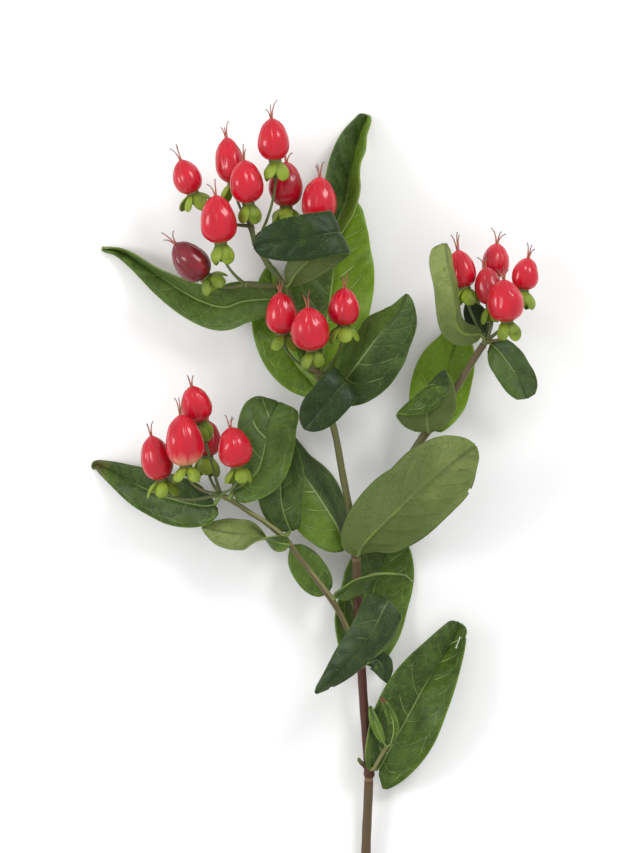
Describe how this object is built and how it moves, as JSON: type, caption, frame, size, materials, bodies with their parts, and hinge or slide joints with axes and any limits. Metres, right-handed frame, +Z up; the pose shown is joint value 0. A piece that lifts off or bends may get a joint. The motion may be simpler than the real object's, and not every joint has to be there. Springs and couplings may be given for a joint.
{
  "type": "hypericum berry stem",
  "caption": "Cut flower-arranging stem lying on a surface, with clusters of glossy red berries on green calyxes, and dark green leaves in opposite pairs.",
  "frame": {"origin": "on the surface that the stem lies on, under the centre of the whole stem", "axes": "+Z up from the surface, +Y along the stem from its cut end towards the top berry cluster"},
  "size_m": [0.1498, 0.2795, 0.045],
  "materials": {
    "stem_bark": "satin",
    "branch_bark": "satin",
    "leaf_blade": "satin",
    "calyx_green": "satin",
    "berry_skin": "gloss"
  },
  "bodies": {
    "root": {"main_stem": "stem_bark", "right_branch": "branch_bark", "left_branch": "branch_bark", "shoot_stalk": "branch_bark", "leaf_lowest": "leaf_blade", "leaf_second_pair_back": "leaf_blade", "leaf_second_pair_front": "leaf_blade", "leaf_second_pair_side": "leaf_blade", "leaf_third_pair_big": "leaf_blade", "leaf_third_pair_left": "leaf_blade", "leaf_fourth_pair_up": "leaf_blade", "leaf_fourth_pair_left": "leaf_blade", "leaf_fourth_pair_right": "leaf_blade", "leaf_fourth_pair_front": "leaf_blade", "leaf_top_pair_left": "leaf_blade", "leaf_top_pair_front": "leaf_blade", "leaf_top_tall": "leaf_blade", "leaf_left_branch_long": "leaf_blade", "leaf_left_branch_up": "leaf_blade", "leaf_left_branch_middle_up": "leaf_blade", "leaf_left_branch_middle_left": "leaf_blade", "leaf_left_branch_low_up": "leaf_blade", "leaf_left_branch_low_right": "leaf_blade", "leaf_right_branch_back": "leaf_blade", "leaf_right_branch_front": "leaf_blade", "leaf_right_top_left": "leaf_blade", "leaf_right_top_back": "leaf_blade", "leaf_right_top_right": "leaf_blade", "leaf_shoot_left": "leaf_blade", "leaf_shoot_right": "leaf_blade", "top_cluster_stalks": "calyx_green", "middle_cluster_stalks": "calyx_green", "right_cluster_stalks": "calyx_green", "left_cluster_stalks": "calyx_green", "berry_top_1": "berry_skin", "berry_top_2": "berry_skin", "berry_top_3": "berry_skin", "berry_top_4": "berry_skin", "berry_top_5": "berry_skin", "berry_top_6": "berry_skin", "berry_top_7": "berry_skin", "berry_top_8": "berry_skin", "berry_middle_1": "berry_skin", "berry_middle_2": "berry_skin", "berry_middle_3": "berry_skin", "berry_right_1": "berry_skin", "berry_right_2": "berry_skin", "berry_right_3": "berry_skin", "berry_right_4": "berry_skin", "berry_right_5": "berry_skin", "berry_left_1": "berry_skin", "berry_left_2": "berry_skin", "berry_left_3": "berry_skin", "berry_left_4": "berry_skin", "berry_left_5": "berry_skin"}
  },
  "joints": []
}
